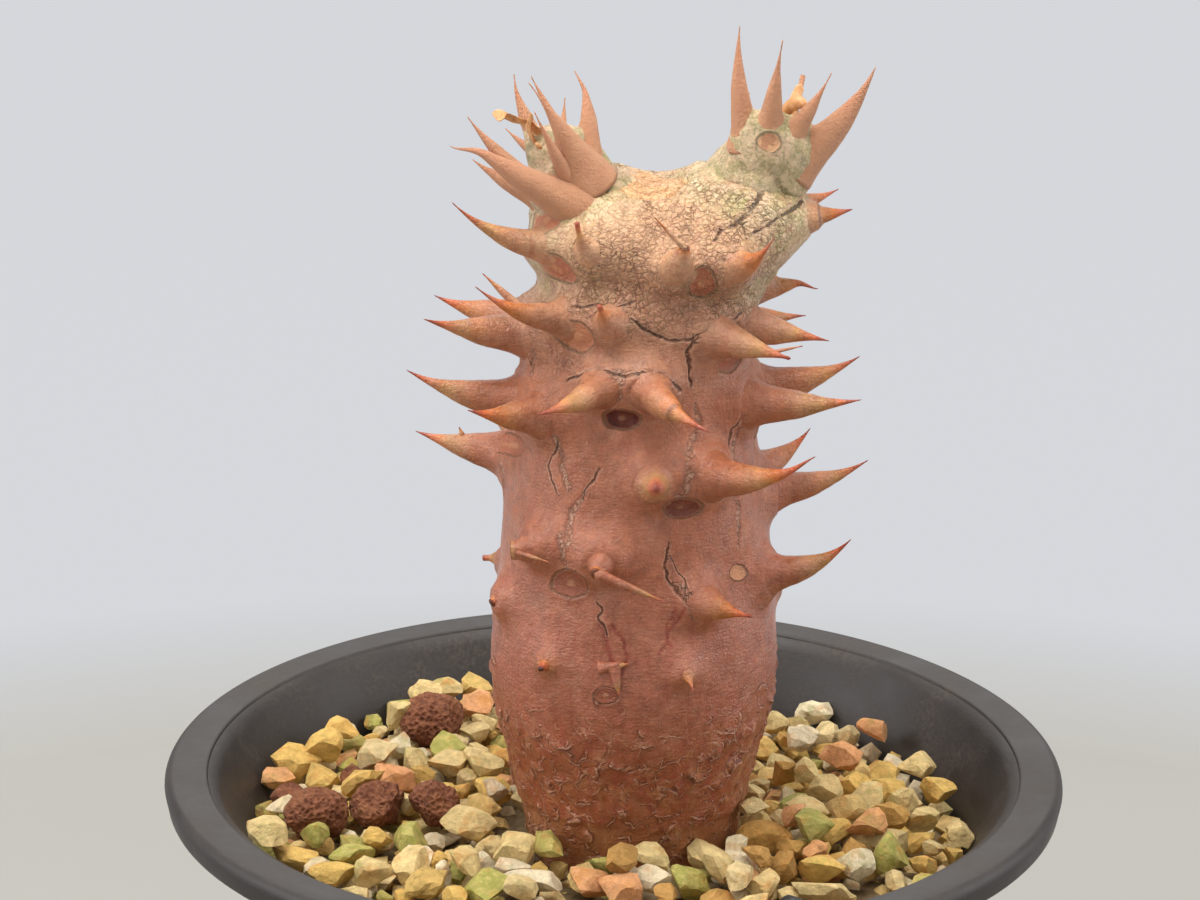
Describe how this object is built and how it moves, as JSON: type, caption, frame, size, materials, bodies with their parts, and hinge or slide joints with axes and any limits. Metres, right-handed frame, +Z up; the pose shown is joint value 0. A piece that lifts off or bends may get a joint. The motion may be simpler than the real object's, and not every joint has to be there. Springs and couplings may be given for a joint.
{
  "type": "potted pachypodium",
  "caption": "Small potted pachypodium: a swollen thorny succulent stem with young woolly shoots, rooted in gravel-topped soil in a round flat-rimmed plastic pot.",
  "frame": {"origin": "middle of the pot's foot, on the surface that it stands on", "axes": "+Z up along the stem, -Y towards the side that the picture shows, +X to the right of it"},
  "size_m": [0.105, 0.105, 0.1783],
  "materials": {
    "pot_plastic": "dark brown-black thin plastic, satin on the rim, dusty",
    "potting_mix": "dark crumbly potting mix",
    "gravel": "pale yellow-cream crushed gravel",
    "lava_stone": "pitted red-brown lava",
    "pale_stone": "matt cream stone",
    "orange_stone": "matt orange-ochre stone",
    "black_pebble": "smooth dark pebble",
    "bark": "waxy pinkish-tan bark with fine cracks and dark scars",
    "woolly_shoot": "green-yellow young bark under short pale wool",
    "thorn": "hard satin thorn, olive-orange at the foot, red-brown at the tip",
    "young_thorn": "thin young thorn, green-pink, satin",
    "dry_leaf": "shrivelled ochre leaf"
  },
  "bodies": {
    "root": {"pot": "pot_plastic", "soil": "potting_mix", "gravel_bed": "gravel", "lava_stone_1": "lava_stone", "lava_stone_2": "lava_stone", "lava_stone_3": "lava_stone", "lava_stone_4": "lava_stone", "pale_stone": "pale_stone", "orange_stone": "orange_stone", "black_pebble": "black_pebble", "trunk": "bark", "left_shoot": "woolly_shoot", "right_shoot": "woolly_shoot", "dry_leaf_left": "dry_leaf", "dry_leaf_right": "dry_leaf", "spine_01_left": "thorn", "spine_01_right": "thorn", "spine_02_left": "thorn", "spine_02_right": "thorn", "spine_03_left": "thorn", "spine_03_right": "thorn", "spine_04_left": "thorn", "spine_04_right": "thorn", "spine_05_left": "thorn", "spine_05_right": "thorn", "spine_pair_06": "thorn", "spine_pair_07": "thorn", "spine_pair_08": "thorn", "spine_pair_09": "thorn", "spine_pair_10": "thorn", "spine_pair_11": "thorn", "spine_pair_12": "thorn", "spine_pair_13": "thorn", "spine_pair_14": "thorn", "spine_pair_15": "thorn", "spine_pair_16": "thorn", "spine_pair_17": "thorn", "spine_pair_18": "thorn", "spine_pair_19": "thorn", "spine_pair_20": "thorn", "spine_pair_21": "thorn", "spine_pair_22": "thorn", "spine_pair_23": "thorn", "spine_pair_24": "thorn", "spine_pair_25": "thorn", "spine_pair_26": "thorn", "left_shoot_pair_1": "young_thorn", "left_shoot_pair_2": "young_thorn", "left_shoot_pair_3": "young_thorn", "left_shoot_pair_4": "young_thorn", "left_shoot_pair_5": "young_thorn", "right_shoot_pair_1": "young_thorn", "right_shoot_pair_2": "young_thorn", "right_shoot_pair_3": "young_thorn", "right_shoot_pair_4": "young_thorn"}
  },
  "joints": []
}
